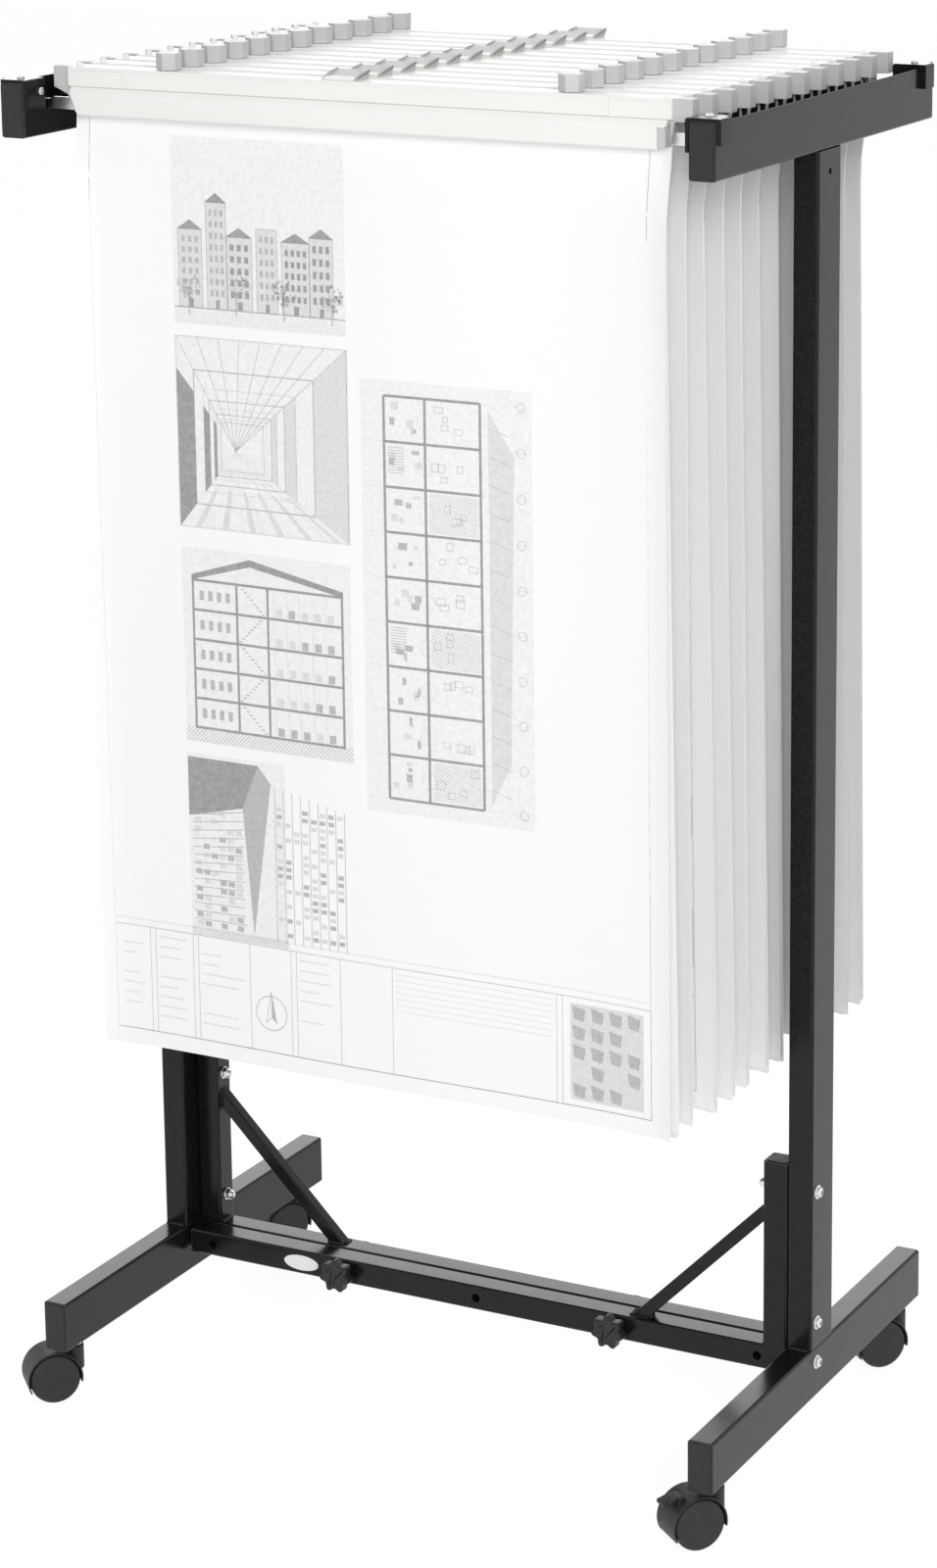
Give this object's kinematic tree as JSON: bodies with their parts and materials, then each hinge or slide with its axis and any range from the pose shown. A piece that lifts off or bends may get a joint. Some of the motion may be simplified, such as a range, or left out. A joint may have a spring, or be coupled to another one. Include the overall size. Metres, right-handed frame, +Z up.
{
  "type": "plan hanging rack",
  "caption": "Rolling rack of two steel side frames joined by a telescopic cross tube, with clamp hangers across its two top rails and large sheets hanging from them",
  "frame": {"origin": "on the floor, under the middle of the whole outline in plan, with the rack at its narrowest width", "axes": "+X to the right seen from the front, +Y to the back, +Z up"},
  "size_m": [0.7675, 0.5144, 1.339],
  "materials": {
    "powder_coat": "semi-gloss black powder coat, fine orange peel",
    "black_plastic": "moulded, fine grain",
    "wheel_plastic": "moulded, semi-gloss",
    "zinc": "bright zinc plate",
    "label_white": "blank white label",
    "hanger_white": "satin off-white",
    "sheet_paper": "plain paper with faint line drawings"
  },
  "bodies": {
    "right_frame": {"right_foot": "powder_coat", "right_upright": "powder_coat", "right_rail": "powder_coat", "right_post": "powder_coat", "right_brace": "powder_coat", "right_end_caps": "black_plastic", "right_end_stops": "powder_coat", "right_fasteners": "zinc", "right_caster_stems": "zinc", "front_cross_tube": "powder_coat", "label_plate": "label_white", "clamp_washers": "zinc"},
    "left_frame": {"left_foot": "powder_coat", "left_upright": "powder_coat", "left_rail": "powder_coat", "left_post": "powder_coat", "left_brace": "powder_coat", "left_end_caps": "black_plastic", "left_end_stops": "powder_coat", "left_fasteners": "zinc", "left_caster_stems": "zinc", "rear_cross_tube": "powder_coat"},
    "clamp_knob_left": {"clamp_knob_left": "black_plastic"},
    "clamp_knob_right": {"clamp_knob_right": "black_plastic"},
    "front_right_swivel": {"front_right_caster_hood": "black_plastic"},
    "front_right_wheels": {"front_right_caster_wheels": "wheel_plastic"},
    "front_right_brake": {"front_right_brake_lever": "black_plastic"},
    "front_left_swivel": {"front_left_caster_hood": "black_plastic"},
    "front_left_wheels": {"front_left_caster_wheels": "wheel_plastic"},
    "rear_right_swivel": {"rear_right_caster_hood": "black_plastic"},
    "rear_right_wheels": {"rear_right_caster_wheels": "wheel_plastic"},
    "rear_left_swivel": {"rear_left_caster_hood": "black_plastic"},
    "rear_left_wheels": {"rear_left_caster_wheels": "wheel_plastic"},
    "rear_left_brake": {"rear_left_brake_lever": "black_plastic"},
    "hanger_01": {"hanger_01": "hanger_white", "sheets_01": "sheet_paper"},
    "hanger_02": {"hanger_02": "hanger_white", "sheets_02": "sheet_paper"},
    "hanger_03": {"hanger_03": "hanger_white", "sheets_03": "sheet_paper"},
    "hanger_04": {"hanger_04": "hanger_white", "sheets_04": "sheet_paper"},
    "hanger_05": {"hanger_05": "hanger_white", "sheets_05": "sheet_paper"},
    "hanger_06": {"hanger_06": "hanger_white", "sheets_06": "sheet_paper"},
    "hanger_07": {"hanger_07": "hanger_white", "sheets_07": "sheet_paper"},
    "hanger_08": {"hanger_08": "hanger_white", "sheets_08": "sheet_paper"},
    "hanger_09": {"hanger_09": "hanger_white", "sheets_09": "sheet_paper"},
    "hanger_10": {"hanger_10": "hanger_white", "sheets_10": "sheet_paper"},
    "hanger_11": {"hanger_11": "hanger_white", "sheets_11": "sheet_paper"},
    "hanger_12": {"hanger_12": "hanger_white", "sheets_12": "sheet_paper"},
    "turn_knob_left": {"turn_knob_left": "hanger_white"},
    "turn_knob_right": {"turn_knob_right": "hanger_white"}
  },
  "joints": [
    {"name": "width_slide", "type": "slide", "parent": "right_frame", "child": "left_frame", "axis": [-1, 0, 0], "range_m": [0, 0.15]},
    {"name": "clamp_left_turn", "type": "hinge", "parent": "right_frame", "child": "clamp_knob_left", "pos_m": [-0.1384, -0.0298, 0.093], "axis": [0, -1, 0], "range_deg": [0, 360]},
    {"name": "clamp_right_turn", "type": "hinge", "parent": "right_frame", "child": "clamp_knob_right", "pos_m": [0.1686, -0.0298, 0.093], "axis": [0, -1, 0], "range_deg": [0, 360]},
    {"name": "front_right_swivel", "type": "hinge", "parent": "right_frame", "child": "front_right_swivel", "pos_m": [0.3659, -0.2068, 0.05], "axis": [0, 0, 1], "continuous": true},
    {"name": "front_right_roll", "type": "hinge", "parent": "front_right_swivel", "child": "front_right_wheels", "pos_m": [0.35235, -0.22414, 0.025], "axis": [0.788, -0.6157, 0], "continuous": true},
    {"name": "front_right_brake", "type": "hinge", "parent": "front_right_swivel", "child": "front_right_brake", "pos_m": [0.34312, -0.23596, 0.049], "axis": [0.788, -0.6157, 0], "range_deg": [0, 15]},
    {"name": "front_left_swivel", "type": "hinge", "parent": "left_frame", "child": "front_left_swivel", "pos_m": [-0.3357, -0.2068, 0.05], "axis": [0, 0, 1], "continuous": true},
    {"name": "front_left_roll", "type": "hinge", "parent": "front_left_swivel", "child": "front_left_wheels", "pos_m": [-0.35126, -0.22236, 0.025], "axis": [0.7071, -0.7071, 0], "continuous": true},
    {"name": "rear_right_swivel", "type": "hinge", "parent": "right_frame", "child": "rear_right_swivel", "pos_m": [0.3659, 0.2272, 0.05], "axis": [0, 0, 1], "continuous": true},
    {"name": "rear_right_roll", "type": "hinge", "parent": "rear_right_swivel", "child": "rear_right_wheels", "pos_m": [0.35118, 0.21085, 0.025], "axis": [0.7431, -0.6691, 0], "continuous": true},
    {"name": "rear_left_swivel", "type": "hinge", "parent": "left_frame", "child": "rear_left_swivel", "pos_m": [-0.3357, 0.2272, 0.05], "axis": [0, 0, 1], "continuous": true},
    {"name": "rear_left_roll", "type": "hinge", "parent": "rear_left_swivel", "child": "rear_left_wheels", "pos_m": [-0.3467, 0.20815, 0.025], "axis": [0.866, -0.5, 0], "continuous": true},
    {"name": "rear_left_brake", "type": "hinge", "parent": "rear_left_swivel", "child": "rear_left_brake", "pos_m": [-0.3542, 0.19516, 0.049], "axis": [0.866, -0.5, 0], "range_deg": [0, 15]},
    {"name": "hanger_01_lift", "type": "slide", "parent": "right_frame", "child": "hanger_01", "axis": [0, 0, 1], "range_m": [0, 0.06]},
    {"name": "hanger_02_lift", "type": "slide", "parent": "right_frame", "child": "hanger_02", "axis": [0, 0, 1], "range_m": [0, 0.06]},
    {"name": "hanger_03_lift", "type": "slide", "parent": "right_frame", "child": "hanger_03", "axis": [0, 0, 1], "range_m": [0, 0.06]},
    {"name": "hanger_04_lift", "type": "slide", "parent": "right_frame", "child": "hanger_04", "axis": [0, 0, 1], "range_m": [0, 0.06]},
    {"name": "hanger_05_lift", "type": "slide", "parent": "right_frame", "child": "hanger_05", "axis": [0, 0, 1], "range_m": [0, 0.06]},
    {"name": "hanger_06_lift", "type": "slide", "parent": "right_frame", "child": "hanger_06", "axis": [0, 0, 1], "range_m": [0, 0.06]},
    {"name": "hanger_07_lift", "type": "slide", "parent": "right_frame", "child": "hanger_07", "axis": [0, 0, 1], "range_m": [0, 0.06]},
    {"name": "hanger_08_lift", "type": "slide", "parent": "right_frame", "child": "hanger_08", "axis": [0, 0, 1], "range_m": [0, 0.06]},
    {"name": "hanger_09_lift", "type": "slide", "parent": "right_frame", "child": "hanger_09", "axis": [0, 0, 1], "range_m": [0, 0.06]},
    {"name": "hanger_10_lift", "type": "slide", "parent": "right_frame", "child": "hanger_10", "axis": [0, 0, 1], "range_m": [0, 0.06]},
    {"name": "hanger_11_lift", "type": "slide", "parent": "right_frame", "child": "hanger_11", "axis": [0, 0, 1], "range_m": [0, 0.06]},
    {"name": "hanger_12_lift", "type": "slide", "parent": "right_frame", "child": "hanger_12", "axis": [0, 0, 1], "range_m": [0, 0.06]},
    {"name": "turn_knob_left_turn", "type": "hinge", "parent": "hanger_01", "child": "turn_knob_left", "pos_m": [-0.1909, -0.1908, 1.33], "axis": [0, 0, 1], "range_deg": [-90, 90]},
    {"name": "turn_knob_right_turn", "type": "hinge", "parent": "hanger_01", "child": "turn_knob_right", "pos_m": [0.2211, -0.1908, 1.33], "axis": [0, 0, 1], "range_deg": [-90, 90]}
  ]
}
